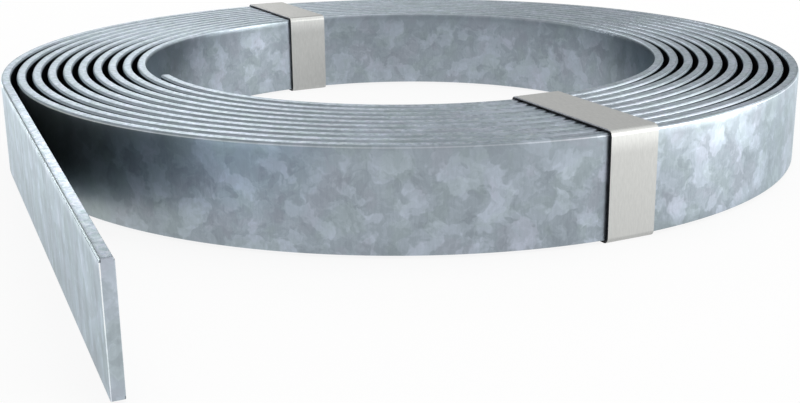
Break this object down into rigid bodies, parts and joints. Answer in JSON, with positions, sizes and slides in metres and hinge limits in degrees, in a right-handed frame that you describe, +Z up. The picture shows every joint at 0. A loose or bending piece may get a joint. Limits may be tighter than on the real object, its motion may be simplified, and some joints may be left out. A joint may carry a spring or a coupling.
{
  "type": "steel strip coil",
  "caption": "Open coil of flat galvanised steel strip lying on edge, with gaps between its turns, a straight free tail and flat metal straps round the turns.",
  "frame": {"origin": "under the middle of the whole object, tail included, on the surface it rests on", "axes": "+Z up along the upright bore, +Y along the longest way, from the tail's free end towards the far side of the coil"},
  "size_m": [0.2768, 0.357, 0.0318],
  "materials": {
    "galvanised_strip": "hot-dip galvanised, satin, blue-grey with a soft zinc spangle",
    "strap_metal": "plain satin metal, warm light grey"
  },
  "bodies": {
    "root": {"steel_strip": "galvanised_strip", "front_strap": "strap_metal", "rear_strap": "strap_metal"}
  },
  "joints": []
}
